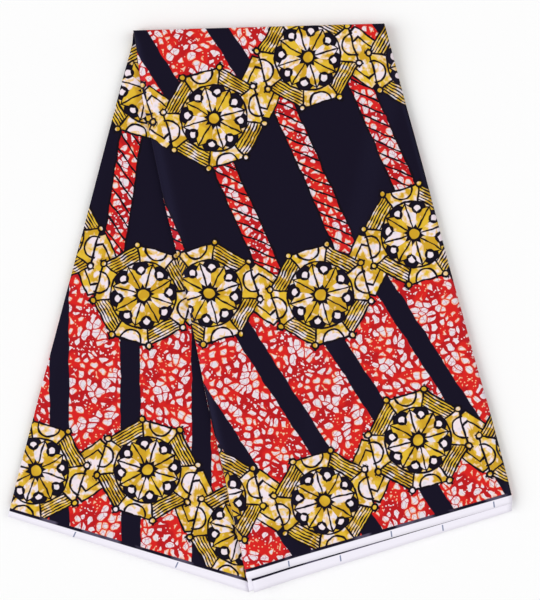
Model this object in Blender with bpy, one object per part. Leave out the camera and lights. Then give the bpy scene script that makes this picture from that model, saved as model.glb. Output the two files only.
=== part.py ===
"""A length of African print cotton, folded into a strip and fanned into two leaves.

The cloth is doubled selvedge to selvedge, so its middle fold is the top edge here and
its two selvedges lie together at the bottom. The doubled cloth is pleated into a strip,
and the strip is fanned: the left leaf lies on the table, and the right leaf lies partly
on it and comes down to the table beside it. The top plies are walls of their own, and
the pleats under them are one solid with layered edges.

Metres, +Z up, +Y towards the top fold, table at Z = 0, origin under the middle of the box.
"""

import bpy
from collections import namedtuple
from math import cos, radians, sin

# Plan of the fanned strip: lengths in metres, leans in degrees from straight down,
# positive to the right. The cloth is 1.17 m wide, so a leaf is about half of that.
STRIP_WIDTH = 0.277
TOP_FOLD_TILT = 1.6
LEFT_SIDE_LENGTH = 0.551
LEFT_SIDE_LEAN = -14.5
LEFT_SELVEDGE_LEAN = 71.9
RIGHT_SIDE_LENGTH = 0.5465
RIGHT_SIDE_LEAN = 14.9
INNER_FOLD_LENGTH = 0.618
INNER_FOLD_LEAN = 11.75
UNDER_PLY_SHOWS_AT_FOLD = 0.0135
UNDER_PLY_SHOWS_AT_SIDE = 0.0100

# The inner fold isn't quite straight: how far it bows to the left on its way down.
Bow = namedtuple("Bow", "way_down sideways")
INNER_FOLD_BOW = (
    Bow(0.00, 0.0),
    Bow(0.14, -0.0056),
    Bow(0.28, -0.0056),
    Bow(0.46, -0.0024),
    Bow(0.68, -0.0034),
    Bow(0.84, -0.0012),
    Bow(1.00, 0.0),
)

# Thickness of the stacks. A leaf is ten doubled strips, twenty plies of 0.3 mm with the
# air between them. The walls are drawn 1 mm thick, and what touches keeps a small gap.
WALL = 0.0010
GAP = 0.00035
STACK = 0.0054
LEFT_LEAF_TOP = STACK + GAP + WALL
RIGHT_LEAF_TOP = LEFT_LEAF_TOP + GAP + WALL

# Where the right leaf comes down beside the left one, and how its folds roll over.
DRAPE_REACH = 0.045
FOLD_ROLL_DROP = 0.0012
FOLD_ROLL_REACH = 0.016
TOP_ROLL_DROP = 0.0007
TOP_ROLL_REACH = 0.014

# The left leaf's ply runs on under the right leaf by this much.
TUCK = 0.012
TUCK_AT_ENDS = 0.0022
TUCK_START = 0.014
TUCK_GROWTH = 0.42
TUCK_CLEARANCE = 0.0032
TUCK_SLOT_ROOF = LEFT_LEAF_TOP + GAP
LEFT_PLY_START = 0.008

# The pleats below show as ridges, one for each fold, with grooves between them.
STACK_RIDGES = 4
UPPER_RIDGES = 4
GROOVE = 0.0008
RidgeStep = namedtuple("RidgeStep", "way_up groove_share")
RIDGE_PROFILE = (
    RidgeStep(0.00, 1.00),
    RidgeStep(0.22, 0.22),
    RidgeStep(0.50, 0.00),
    RidgeStep(0.78, 0.22),
)

# How far each fold of the lower stack is set in from the leaf's edge, table upwards.
Setback = namedtuple("Setback", "left left_selvedge right_selvedge right top")
STACK_SETBACKS = (
    Setback(0.0011, 0.0024, 0.0031, 0.0016, 0.0009),
    Setback(0.0002, 0.0009, 0.0018, 0.0006, 0.0003),
    Setback(0.0007, 0.0030, 0.0026, 0.0013, 0.0007),
    Setback(0.0023, 0.0014, 0.0012, 0.0009, 0.0004),
)
# The same for the folds between the two leaves, from the top down.
UPPER_SETBACKS = (0.0006, 0.0014, 0.0004, 0.0011)
# Where the upper layers run down into the lower stack: how far in, and how deep.
BURIED = 0.0032
SUNK_FOOT = STACK - 0.0014
SUNK_RIDGES = STACK - 0.0008
RIDGES_END = STACK - 0.0002
DRAPE_SINK = 0.0004

# Edge of a wall: how far in from the leaf's edge, and how far below its top.
Rim = namedtuple("Rim", "inset drop")
FOLDED_RIM = (
    Rim(0.00110, 0.0),
    Rim(0.00030, 0.00035),
    Rim(0.00000, 0.00115),
    Rim(0.00025, 0.00190),
    Rim(0.00080, 0.00230),
    Rim(0.00125, 0.00210),
    Rim(0.00135, 0.00125),
    Rim(0.00190, WALL),
)
CUT_RIM = (
    Rim(0.00030, 0.0),
    Rim(0.00008, 0.00012),
    Rim(0.00000, 0.00050),
    Rim(0.00008, 0.00088),
    Rim(0.00030, WALL),
    Rim(0.00080, WALL),
    Rim(0.00130, WALL),
    Rim(0.00190, WALL),
)
CLEAR_OF_ROLL = 0.0019

# Steps of the meshes. The right leaf's steps are closer near its folds.
RIGHT_ROWS = 20
RIGHT_ROW_SPREAD = 1.25
RIGHT_COLUMNS = 16
RIGHT_COLUMN_SPREAD = 1.3
LEFT_ROWS = 20
LEFT_COLUMNS = 8
OUTLINE_STEPS = 12

PRINT_COLOUR = (0.62, 0.24, 0.06, 1.0)
SELVEDGE_COLOUR = (0.80, 0.76, 0.82, 1.0)
LAYERS_COLOUR = (0.42, 0.30, 0.26, 1.0)
COTTON_ROUGHNESS = 0.75

for old in list(bpy.data.objects):
    bpy.data.objects.remove(old)


def mix(a, b, share):
    return a + (b - a) * share


def mix_points(a, b, share):
    return (mix(a[0], b[0], share), mix(a[1], b[1], share))


def ease(share):
    """0 to 1 with a soft start and end."""
    share = min(1.0, max(0.0, share))
    return share * share * (3 - 2 * share)


def walk(start, length, lean):
    """The plan point at a length and a lean from another."""
    return (start[0] + length * sin(radians(lean)), start[1] - length * cos(radians(lean)))


def unit(a, b):
    dx, dy = b[0] - a[0], b[1] - a[1]
    length = (dx * dx + dy * dy) ** 0.5
    return (dx / length, dy / length)


TOP_LEFT = (0.0, 0.0)
TOP_RIGHT = walk(TOP_LEFT, STRIP_WIDTH, 90 + TOP_FOLD_TILT)
LEFT_FOOT = walk(TOP_LEFT, LEFT_SIDE_LENGTH, LEFT_SIDE_LEAN)
LEFT_TOE = walk(LEFT_FOOT, STRIP_WIDTH, LEFT_SELVEDGE_LEAN)
RIGHT_FOOT = walk(TOP_RIGHT, RIGHT_SIDE_LENGTH, RIGHT_SIDE_LEAN)
RIGHT_TOE = walk(TOP_LEFT, INNER_FOLD_LENGTH, INNER_FOLD_LEAN)
UNDER_FOOT = walk(RIGHT_FOOT, UNDER_PLY_SHOWS_AT_SIDE, RIGHT_SIDE_LEAN)
UNDER_TOE = walk(RIGHT_TOE, UNDER_PLY_SHOWS_AT_FOLD, INNER_FOLD_LEAN)


def fold_bow(way_down):
    """How far the inner fold bows to the left, between the rows of the table."""
    for above, below in zip(INNER_FOLD_BOW, INNER_FOLD_BOW[1:]):
        if way_down <= below.way_down:
            share = (way_down - above.way_down) / (below.way_down - above.way_down)
            return mix(above.sideways, below.sideways, ease(share))
    return INNER_FOLD_BOW[-1].sideways


def inner_fold(way_down):
    x, y = mix_points(TOP_LEFT, RIGHT_TOE, way_down)
    return (x + fold_bow(way_down), y)


def over_left_leaf(point):
    """1 where the right leaf lies on the left one, falling to 0 where it lies on the table."""
    down = unit(TOP_RIGHT, LEFT_TOE)
    dx, dy = point[0] - TOP_RIGHT[0], point[1] - TOP_RIGHT[1]
    past_edge = dx * -down[1] + dy * down[0]
    return ease(1 - past_edge / DRAPE_REACH)


def spread(steps, power):
    """Fractions from 0 to 1 that start close together."""
    return [(step / steps) ** power for step in range(steps + 1)]


def right_leaf_plan():
    """Plan points of the right leaf, a row for each step down from the top fold.

    The last row is the second ply's selvedge, and the one before it the first ply's.
    """
    ends = [(inner_fold(way_down), mix_points(TOP_RIGHT, RIGHT_FOOT, way_down))
            for way_down in spread(RIGHT_ROWS, RIGHT_ROW_SPREAD)]
    ends.append((UNDER_TOE, UNDER_FOOT))
    across = spread(RIGHT_COLUMNS, RIGHT_COLUMN_SPREAD)
    return [[mix_points(start, end, share) for share in across] for start, end in ends]


def tuck_depth(y):
    """How far the left leaf's ply reaches under the right leaf: less far near both ends."""
    from_end = min(TOP_LEFT[1] - y, y - UNDER_TOE[1]) - TUCK_START
    return min(TUCK, TUCK_AT_ENDS + TUCK_GROWTH * max(0.0, from_end))


def left_leaf_plan():
    """Plan points of the left leaf's ply, from its outer side to just under the right leaf."""
    rows = []
    across = spread(LEFT_COLUMNS, 1)
    for share in spread(LEFT_ROWS, 1):
        way_down = mix(LEFT_PLY_START, 1.0, share)
        start = mix_points(TOP_LEFT, LEFT_FOOT, way_down)
        fold = inner_fold(way_down * LEFT_TOE[1] / RIGHT_TOE[1])
        end = (fold[0] + tuck_depth(fold[1]) - TUCK_CLEARANCE, fold[1])
        rows.append([mix_points(start, end, column) for column in across])
    return rows


def right_leaf_height(plan):
    """Height of the right leaf's upper face at each plan point."""
    heights = []
    for row in plan:
        heights.append([])
        for point in row:
            from_fold = point[0] - row[0][0]
            from_top = plan[0][0][1] - row[0][1]
            roll = FOLD_ROLL_DROP * (1 - ease(from_fold / FOLD_ROLL_REACH))
            roll += TOP_ROLL_DROP * (1 - ease(from_top / TOP_ROLL_REACH))
            heights[-1].append(RIGHT_LEAF_TOP + LEFT_LEAF_TOP * over_left_leaf(point) - roll)
    return heights


EdgePoint = namedtuple("EdgePoint", "row column sides")


def edge_points(plan):
    """The grid points round a leaf, left side first, counter-clockwise from above."""
    last_row, last_column = len(plan) - 1, len(plan[0]) - 1
    points = [EdgePoint(0, 0, ("top", "left"))]
    points += [EdgePoint(row, 0, ("left",)) for row in range(1, last_row)]
    points.append(EdgePoint(last_row, 0, ("left", "bottom")))
    points += [EdgePoint(last_row, column, ("bottom",)) for column in range(1, last_column)]
    points.append(EdgePoint(last_row, last_column, ("bottom", "right")))
    points += [EdgePoint(row, last_column, ("right",)) for row in range(last_row - 1, 0, -1)]
    points.append(EdgePoint(0, last_column, ("right", "top")))
    points += [EdgePoint(0, column, ("top",)) for column in range(last_column - 1, 0, -1)]
    return points


def inward_directions(plan):
    """Unit vectors that point into the leaf from each of its four sides."""
    corners = {"left": (plan[0][0], plan[-1][0]), "bottom": (plan[-1][0], plan[-1][-1]),
               "right": (plan[-1][-1], plan[0][-1]), "top": (plan[0][-1], plan[0][0])}
    inward = {}
    for side, (start, end) in corners.items():
        along = unit(start, end)
        inward[side] = (-along[1], along[0])
    return inward


def cotton(name, colour):
    material = bpy.data.materials.new(name)
    material.use_nodes = True
    shader = material.node_tree.nodes["Principled BSDF"]
    shader.inputs["Base Color"].default_value = colour
    shader.inputs["Roughness"].default_value = COTTON_ROUGHNESS
    shader.inputs["Metallic"].default_value = 0.0
    return material


def new_object(name, mesh_points, faces, material):
    mesh = bpy.data.meshes.new(name)
    mesh.from_pydata(mesh_points, [], faces)
    mesh.update()
    mesh.materials.append(material)
    mesh.shade_smooth()
    mesh.set_sharp_from_angle(angle=radians(50))
    piece = bpy.data.objects.new(name, mesh)
    bpy.context.scene.collection.objects.link(piece)
    return piece


def walled_piece(name, plan, top, under, rim, material):
    """A closed solid over a leaf's plan: an upper face, rings round its edge, an under face.

    rim(side, edge_point) gives the rings at a point of the edge from the top down, as rows
    of inset and height. The first ring bounds the upper face and the last the under face,
    which is one flat fan where no heights are given for it.
    """
    edge = edge_points(plan)
    inward = inward_directions(plan)
    last_row, last_column = len(plan) - 1, len(plan[0]) - 1
    points = []
    faces = []

    rings = []
    profiles = [[rim(side, spot) for side in spot.sides] for spot in edge]
    for level in range(len(profiles[0][0])):
        ring = []
        for spot, profile in zip(edge, profiles):
            x, y = plan[spot.row][spot.column]
            for side, rows in zip(spot.sides, profile):
                x += inward[side][0] * rows[level][0]
                y += inward[side][1] * rows[level][0]
            z = max(rows[level][1] for rows in profile)
            ring.append(len(points))
            points.append((x, y, z))
        rings.append(ring)

    for upper, lower in zip(rings, rings[1:]):
        for k in range(len(edge)):
            after = (k + 1) % len(edge)
            faces.append((upper[k], lower[k], lower[after], upper[after]))

    if under is None:
        middle = len(points)
        points.append((*plan[last_row // 2][last_column // 2], points[rings[-1][0]][2]))
        faces += [(middle, rings[-1][k], rings[-1][k - 1]) for k in range(len(edge))]

    for heights, ring, faces_up in ((top, rings[0], True), (under, rings[-1], False)):
        if heights is None:
            continue
        index = {(spot.row, spot.column): number for spot, number in zip(edge, ring)}
        for row in range(1, last_row):
            for column in range(1, last_column):
                index[row, column] = len(points)
                x, y = plan[row][column]
                points.append((x, y, heights[row][column]))
        for row in range(last_row):
            for column in range(last_column):
                a, b = index[row, column], index[row + 1, column]
                c, d = index[row + 1, column + 1], index[row, column + 1]
                faces += [(a, b, c), (a, c, d)] if faces_up else [(c, b, a), (d, c, a)]
    return new_object(name, points, faces, material)


def lowered(heights, drop):
    return [[height - drop for height in row] for row in heights]


def height_set_in(plan, heights, side, spot, inset):
    """Height a little way in from the edge, on the facet that leads to the next grid point."""
    down, right = {"left": (0, 1), "right": (0, -1), "top": (1, 0), "bottom": (-1, 0)}[side]
    row, column = spot.row + down, spot.column + right
    here, there = plan[spot.row][spot.column], plan[row][column]
    reach = ((there[0] - here[0]) ** 2 + (there[1] - here[1]) ** 2) ** 0.5
    return mix(heights[spot.row][spot.column], heights[row][column], inset / reach)


def ply_rim(plan, top, folded_sides=(), set_in_sides=()):
    """The rounded edge of one ply: rolled on its folded sides and thin on its cut ones.

    On the set-in sides the ply stays clear of the roll of the ply above it.
    """
    def rim(side, spot):
        rows = FOLDED_RIM if side in folded_sides else CUT_RIM
        base = CLEAR_OF_ROLL if side in set_in_sides else 0.0
        return [(base + row.inset, height_set_in(plan, top, side, spot, base + row.inset) - row.drop)
                for row in rows]
    return rim


def make_left_leaf():
    """The left leaf's upper ply, with the pleat fold at its outer side."""
    plan = left_leaf_plan()
    top = [[LEFT_LEAF_TOP] * len(row) for row in plan]
    rim = ply_rim(plan, top, folded_sides=("left",))
    material = cotton("left_print", PRINT_COLOUR)
    return walled_piece("left_leaf", plan, top, lowered(top, WALL), rim, material)


def make_right_leaf(plan, height):
    """The right leaf's upper ply: rolled over at its inner fold and along the top fold."""
    rim = ply_rim(plan, height, folded_sides=("left", "top"))
    material = cotton("right_print", PRINT_COLOUR)
    return walled_piece("right_leaf", plan, height, lowered(height, WALL), rim, material)


def make_right_under_ply(plan, height):
    """The second ply of the doubled cloth. Its selvedge shows below the first ply's."""
    top = lowered(height, WALL + GAP)
    rim = ply_rim(plan, top, set_in_sides=("left", "top"))
    material = cotton("under_selvedge", SELVEDGE_COLOUR)
    return walled_piece("right_under_ply", plan, top, lowered(top, WALL), rim, material)


def ridge_rings(count, setbacks):
    """Rings along a stack of folds, as rows of inset and share of the way through the stack."""
    rings = []
    for ridge in range(count):
        for step in RIDGE_PROFILE:
            rings.append((setbacks[ridge] + step.groove_share * GROOVE, (ridge + step.way_up) / count))
    rings.append((setbacks[-1] + GROOVE, 1.0))
    return rings


def make_upper_layers(plan, height, material):
    """The right leaf's hidden pleats, down to inside the lower stack, which they join."""
    ridges = ridge_rings(UPPER_RIDGES, UPPER_SETBACKS)
    over = [[over_left_leaf(point) for point in row] for row in plan]
    top = []
    for heights, shares in zip(lowered(height, 2 * (WALL + GAP)), over):
        top.append([z - DRAPE_SINK * (1 - share) for z, share in zip(heights, shares)])

    def rim(side, spot):
        shown = over[spot.row][spot.column]
        end = mix(SUNK_RIDGES, RIDGES_END, shown)
        slot = BURIED
        if side == "left":
            end = mix(end, TUCK_SLOT_ROOF, shown)
            slot = tuck_depth(plan[spot.row][spot.column][1])
        rows = []
        for ridge_inset, share in ridges:
            inset = mix(BURIED, ridge_inset, shown)
            rows.append((inset, mix(height_set_in(plan, top, side, spot, inset), end, share)))
        return rows + [(slot, end), (slot, SUNK_FOOT)]

    return walled_piece("hidden_layers", plan, top, None, rim, material)


def cross_point(line_a, line_b):
    """Where two lines meet in plan, each given by a point and a direction."""
    (ax, ay), (adx, ady) = line_a
    (bx, by), (bdx, bdy) = line_b
    reach = ((bx - ax) * bdy - (by - ay) * bdx) / (adx * bdy - ady * bdx)
    return (ax + adx * reach, ay + ady * reach)


def make_lower_stack(material):
    """The pleats that lie on the table, under both leaves: rings of folds between flat faces."""
    corners = (TOP_LEFT, LEFT_FOOT, LEFT_TOE, UNDER_FOOT, TOP_RIGHT)
    sides = ("left", "left_selvedge", "right_selvedge", "right", "top")
    levels = [[] for _ in range(len(RIDGE_PROFILE) * STACK_RIDGES + 1)]
    for side in sides:
        setbacks = [getattr(row, side) for row in STACK_SETBACKS]
        for level, ring in zip(levels, ridge_rings(STACK_RIDGES, setbacks)):
            level.append(ring)

    points = []
    rings = []
    for level in levels:
        lines = []
        for k, (inset, share) in enumerate(level):
            start, end = corners[k], corners[(k + 1) % len(corners)]
            along = unit(start, end)
            lines.append(((start[0] - along[1] * inset, start[1] + along[0] * inset), along))
        inner = [cross_point(lines[k - 1], lines[k]) for k in range(len(corners))]
        ring = []
        for k, corner in enumerate(inner):
            for step in range(OUTLINE_STEPS):
                x, y = mix_points(corner, inner[(k + 1) % len(inner)], step / OUTLINE_STEPS)
                ring.append(len(points))
                points.append((x, y, STACK * level[0][1]))
        rings.append(ring)

    faces = []
    count = len(rings[0])
    for lower, upper in zip(rings, rings[1:]):
        for k in range(count):
            after = (k + 1) % count
            faces.append((upper[k], lower[k], lower[after], upper[after]))
    for ring, z, faces_up in ((rings[0], 0.0, False), (rings[-1], STACK, True)):
        middle = len(points)
        points.append((0.5 * (LEFT_FOOT[0] + RIGHT_FOOT[0]), 0.5 * LEFT_TOE[1], z))
        for k in range(count):
            face = (middle, ring[k], ring[(k + 1) % count])
            faces.append(face if faces_up else face[::-1])
    return new_object("lower_stack", points, faces, material)


def make_hidden_layers(plan, height):
    material = cotton("layered_cotton", LAYERS_COLOUR)
    lower = make_lower_stack(material)
    layers = make_upper_layers(plan, height, material)
    union = layers.modifiers.new("join_lower_stack", "BOOLEAN")
    union.operation = "UNION"
    union.solver = "EXACT"
    union.object = lower
    lower.hide_render = True
    lower.display_type = "WIRE"
    return layers


def centre_on_origin():
    """Move every mesh so that the origin is under the middle of the whole cloth."""
    xs = [v.co.x for piece in bpy.data.objects for v in piece.data.vertices]
    ys = [v.co.y for piece in bpy.data.objects for v in piece.data.vertices]
    shift_x = 0.5 * (min(xs) + max(xs))
    shift_y = 0.5 * (min(ys) + max(ys))
    for piece in bpy.data.objects:
        for vertex in piece.data.vertices:
            vertex.co.x -= shift_x
            vertex.co.y -= shift_y


right_plan = right_leaf_plan()
right_height = right_leaf_height(right_plan)
make_left_leaf()
make_right_leaf(right_plan[:-1], right_height[:-1])
make_right_under_ply(right_plan, right_height)
make_hidden_layers(right_plan, right_height)
centre_on_origin()
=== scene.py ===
from collections import namedtuple
from math import cos, hypot, pi, radians, sin, tan

import bpy
import numpy as np
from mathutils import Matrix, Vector


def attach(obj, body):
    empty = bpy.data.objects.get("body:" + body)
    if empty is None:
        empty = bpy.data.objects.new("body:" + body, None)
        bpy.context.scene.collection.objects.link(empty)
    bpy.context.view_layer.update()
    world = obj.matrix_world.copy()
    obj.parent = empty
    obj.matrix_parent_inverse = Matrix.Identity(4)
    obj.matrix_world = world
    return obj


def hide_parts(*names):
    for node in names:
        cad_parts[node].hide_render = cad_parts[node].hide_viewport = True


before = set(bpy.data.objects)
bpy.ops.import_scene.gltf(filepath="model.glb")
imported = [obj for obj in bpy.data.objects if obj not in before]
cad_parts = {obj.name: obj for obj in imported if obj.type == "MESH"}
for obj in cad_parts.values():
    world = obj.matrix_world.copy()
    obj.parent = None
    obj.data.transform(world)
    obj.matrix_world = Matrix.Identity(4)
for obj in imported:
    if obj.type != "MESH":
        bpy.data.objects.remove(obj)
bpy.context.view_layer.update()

# The camera looks straight down on the folded cloth through a long lens, as a shop
# photographs cloth on a table. The picture is 662 mm high at the cloth's surface.
LENS = 120
SENSOR = 36
PICTURE_HEIGHT = 0.6624
PICTURE_CENTRE = (0.0099, 0.0083)
SURFACE_HEIGHT = 0.011
camera_data = bpy.data.cameras.new("camera")
camera_data.lens = LENS
camera_data.sensor_width = SENSOR
camera = bpy.data.objects.new("camera", camera_data)
camera.location = (*PICTURE_CENTRE, SURFACE_HEIGHT + PICTURE_HEIGHT * LENS / SENSOR)
bpy.context.scene.collection.objects.link(camera)
bpy.context.scene.camera = camera

# The studio: a white table, even light from all round, and two very broad soft lamps far
# off, the stronger one on the left, which give the folds their faint shade and sheen.
def linear(hex_colour):
    """An sRGB colour as #rrggbb, in the linear values that Blender's sockets hold."""
    channels = [int(hex_colour[k:k + 2], 16) / 255 for k in (1, 3, 5)]
    return (*[c / 12.92 if c <= 0.04045 else ((c + 0.055) / 1.055) ** 2.4 for c in channels], 1.0)


ROOM_LIGHT = 0.54
LAMP_SPREAD = radians(50)
bpy.context.scene.view_settings.view_transform = "Standard"
world = bpy.data.worlds.new("studio")
world.use_nodes = True
world.node_tree.nodes["Background"].inputs["Color"].default_value = linear("#ffffff")
world.node_tree.nodes["Background"].inputs["Strength"].default_value = ROOM_LIGHT
bpy.context.scene.world = world
Lamp = namedtuple("Lamp", "name place energy")
STRONG_LAMP = Lamp("key_lamp", (-2.0, -0.5, 1.7), 1.46)
WEAK_LAMP = Lamp("fill_lamp", (2.2, 0.2, 1.9), 0.84)
for wanted in (STRONG_LAMP, WEAK_LAMP):
    lamp_data = bpy.data.lights.new(wanted.name, "SUN")
    lamp_data.angle = LAMP_SPREAD
    lamp_data.energy = wanted.energy
    lamp = bpy.data.objects.new(wanted.name, lamp_data)
    lamp.location = wanted.place
    lamp.rotation_mode = "QUATERNION"
    lamp.rotation_quaternion = Vector(wanted.place).to_track_quat("Z", "Y")
    bpy.context.scene.collection.objects.link(lamp)

# White painted board: pale enough for the cloth's soft contact shadow to show.
board = bpy.data.materials.new("white_painted_board")
board.use_nodes = True
board_shader = board.node_tree.nodes["Principled BSDF"]
board_shader.inputs["Base Color"].default_value = linear("#fcfcfc")
board_shader.inputs["Roughness"].default_value = 0.9
board_shader.inputs["Specular IOR Level"].default_value = 0.1
TABLE_HALF = 20.0
TABLE_BELOW = 0.0003
table_mesh = bpy.data.meshes.new("table")
table_mesh.from_pydata(
    [(x * TABLE_HALF, y * TABLE_HALF, -TABLE_BELOW) for x, y in ((-1, -1), (1, -1), (1, 1), (-1, 1))],
    [], [(0, 1, 2, 3)])
table_mesh.materials.append(board)
table = bpy.data.objects.new("table", table_mesh)
bpy.context.scene.collection.objects.link(table)

# The print of the cloth: wax print, drawn by hand and printed in navy, red and mustard
# over white with black lines. Eight-sided medallions stand in rows along the cloth, and
# between them zones of red crackle take turns with zones of navy.
NAVY = linear("#140f1b")
BLACK = linear("#110a08")
RED = linear("#dc2419")
DARK_RED = linear("#b81815")
MUSTARD = linear("#e6be33")
DEEP_MUSTARD = linear("#cd9e1f")
ORANGE = linear("#f0a05a")
STRAW = linear("#f3cd84")
PINK = linear("#cd3a62")
COTTON_WHITE = linear("#f3e3ea")
DAMP_WHITE = linear("#e2dce2")
TICK_BLUE = linear("#75809f")
WORN_NAVY = linear("#5d566b")
BLEACHED_WHITE = linear("#f3eff9")
MATH = "ShaderNodeMath"
VECTOR = "ShaderNodeVectorMath"
RANGE = "ShaderNodeMapRange"
BLEND = "ShaderNodeMixRGB"
NOISE = "ShaderNodeTexNoise"
VORONOI = "ShaderNodeTexVoronoi"


def add(tree, kind, *values, **settings):
    """Adds a node with its settings, and sets or links its inputs in their order."""
    made = tree.nodes.new(kind)
    for setting, value in settings.items():
        setattr(made, setting, value)
    for socket, value in zip(made.inputs, values):
        if isinstance(value, bpy.types.NodeSocket):
            tree.links.new(value, socket)
        elif value is not None:
            socket.default_value = value
    return made.outputs


# The cloth's coordinates are metres, along the selvedge and up from the raw edge, and the
# print is worked out from them in millimetres. Each shape starts as a distance from its
# outline, below zero inside it, and colours meet over a soft edge. A range node's numbers
# are the two values it starts from, and the two that it turns them to.
MILLIMETRES = 1000
LINE_HALF = 1.15
SOFT = 0.3
OUT_OF_REACH = 50
ink = bpy.data.node_groups.new("wax_print", "ShaderNodeTree")
ink.interface.new_socket("Cloth", in_out="INPUT", socket_type="NodeSocketVector")
ink.interface.new_socket("Color", in_out="OUTPUT", socket_type="NodeSocketColor")
cloth = add(ink, "NodeGroupInput")[0]
still = add(ink, VECTOR, cloth, None, None, MILLIMETRES, operation="SCALE")[0]

# The hand's unsteadiness: every line wanders by about half a millimetre.
WOBBLE_LENGTH = 20
WOBBLE = 3.6
unsteady = add(ink, NOISE, still, None, 1 / WOBBLE_LENGTH, 2, noise_dimensions="2D")[1]
unsteady = add(ink, VECTOR, unsteady, (0.5, 0.5, 0.5), operation="SUBTRACT")[0]
drawn = add(ink, VECTOR, unsteady, (WOBBLE, WOBBLE, 0), still, operation="MULTIPLY_ADD")[0]
across, up = add(ink, "ShaderNodeSeparateXYZ", drawn)[:2]

# Rows of medallions. Every other row is shifted, and the medallions of a row sway up and
# down in turn.
ROW_START = 80
ROW_PITCH = 220
COLUMN_PITCH = 118
ROW_SWAY = 18
from_row = add(ink, MATH, up, ROW_START, operation="SUBTRACT")[0]
row_y = add(ink, MATH, from_row, ROW_PITCH / 2, -ROW_PITCH / 2, operation="WRAP")[0]
row = add(ink, MATH, from_row, row_y, operation="SUBTRACT")[0]
row = add(ink, MATH, row, ROW_PITCH, operation="DIVIDE")[0]
row = add(ink, MATH, row, operation="ROUND")[0]
odd_row = add(ink, MATH, row, 1, operation="PINGPONG")[0]
column_x = add(ink, MATH, odd_row, -COLUMN_PITCH / 2, across, operation="MULTIPLY_ADD")[0]
x = add(ink, MATH, column_x, COLUMN_PITCH / 2, -COLUMN_PITCH / 2, operation="WRAP")[0]
column = add(ink, MATH, column_x, x, operation="SUBTRACT")[0]
column = add(ink, MATH, column, COLUMN_PITCH, operation="DIVIDE")[0]
column = add(ink, MATH, column, operation="ROUND")[0]
odd_column = add(ink, MATH, column, 1, operation="PINGPONG")[0]
y = add(ink, MATH, odd_column, 2 * ROW_SWAY, row_y, operation="MULTIPLY_ADD")[0]
y = add(ink, MATH, y, ROW_SWAY, operation="SUBTRACT")[0]
sway = add(ink, MATH, column_x, COLUMN_PITCH, operation="PINGPONG")[0]
chain_y = add(ink, MATH, sway, 2 * ROW_SWAY / COLUMN_PITCH, row_y, operation="MULTIPLY_ADD")[0]
chain_y = add(ink, MATH, chain_y, ROW_SWAY, operation="SUBTRACT")[0]

# One eighth of a medallion, folded onto itself: out is the distance along its middle
# line and off the distance from that line.
centred = add(ink, "ShaderNodeCombineXYZ", x, y)[0]
radius = add(ink, VECTOR, centred, operation="LENGTH")[1]
turn = add(ink, MATH, y, x, operation="ARCTAN2")[0]
folded = add(ink, MATH, turn, pi / 8, operation="PINGPONG")[0]
eighth = add(ink, MATH, turn, pi / 4, operation="DIVIDE")[0]
eighth = add(ink, MATH, eighth, operation="ROUND")[0]
odd_side = add(ink, MATH, eighth, 1, operation="PINGPONG")[0]
fold_cosine = add(ink, MATH, folded, operation="COSINE")[0]
fold_sine = add(ink, MATH, folded, operation="SINE")[0]
out = add(ink, MATH, radius, fold_cosine, operation="MULTIPLY")[0]
off = add(ink, MATH, radius, fold_sine, operation="MULTIPLY")[0]
eighth_place = add(ink, "ShaderNodeCombineXYZ", out, off)[0]

# The medallion's outline with a small ring in each corner, its large ring and its hub.
SIDE = 52
CORNER_RING = 3.4
RING = 36.5
HUB = 7
side_line = add(ink, MATH, out, SIDE, operation="SUBTRACT")[0]
corner_place = (SIDE, SIDE * tan(pi / 8), 0)
corner_line = add(ink, VECTOR, eighth_place, corner_place, operation="DISTANCE")[1]
corner_line = add(ink, MATH, corner_line, CORNER_RING, operation="SUBTRACT")[0]
corner_ink = add(ink, MATH, corner_line, operation="ABSOLUTE")[0]
outline = add(ink, MATH, side_line, corner_line, operation="MINIMUM")[0]
side_ink = add(ink, MATH, outline, operation="ABSOLUTE")[0]
ring_line = add(ink, MATH, radius, RING, operation="SUBTRACT")[0]
ring_ink = add(ink, MATH, ring_line, operation="ABSOLUTE")[0]
hub_line = add(ink, MATH, radius, HUB, operation="SUBTRACT")[0]
hub_ink = add(ink, MATH, hub_line, operation="ABSOLUTE")[0]
lines = add(ink, MATH, side_ink, ring_ink, operation="MINIMUM")[0]
lines = add(ink, MATH, lines, hub_ink, operation="MINIMUM")[0]

# Petals: pointed ovals between the hub and the ring, each with a fine midrib.
PETAL_MIDDLE = 20.8
PETAL_HALF_LENGTH = 13.8
PETAL_HALF_WIDTH = 9.2
MIDRIB_FINER = 0.2
from_petal_middle = add(ink, MATH, radius, PETAL_MIDDLE, operation="SUBTRACT")[0]
petal = add(ink, MATH, from_petal_middle, PETAL_HALF_LENGTH, operation="DIVIDE")[0]
petal = add(ink, MATH, petal, petal, operation="MULTIPLY")[0]
petal = add(ink, MATH, petal, PETAL_HALF_WIDTH, -PETAL_HALF_WIDTH, operation="MULTIPLY_ADD")[0]
petal_line = add(ink, MATH, off, petal, operation="ADD")[0]
petal_ink = add(ink, MATH, petal_line, operation="ABSOLUTE")[0]
rib_end = add(ink, MATH, from_petal_middle, operation="ABSOLUTE")[0]
rib_end = add(ink, MATH, rib_end, PETAL_HALF_LENGTH, operation="SUBTRACT")[0]
rib_ink = add(ink, MATH, off, MIDRIB_FINER, operation="ADD")[0]
rib_ink = add(ink, MATH, rib_ink, rib_end, operation="MAXIMUM")[0]
lines = add(ink, MATH, lines, petal_ink, operation="MINIMUM")[0]
lines = add(ink, MATH, lines, rib_ink, operation="MINIMUM")[0]

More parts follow.
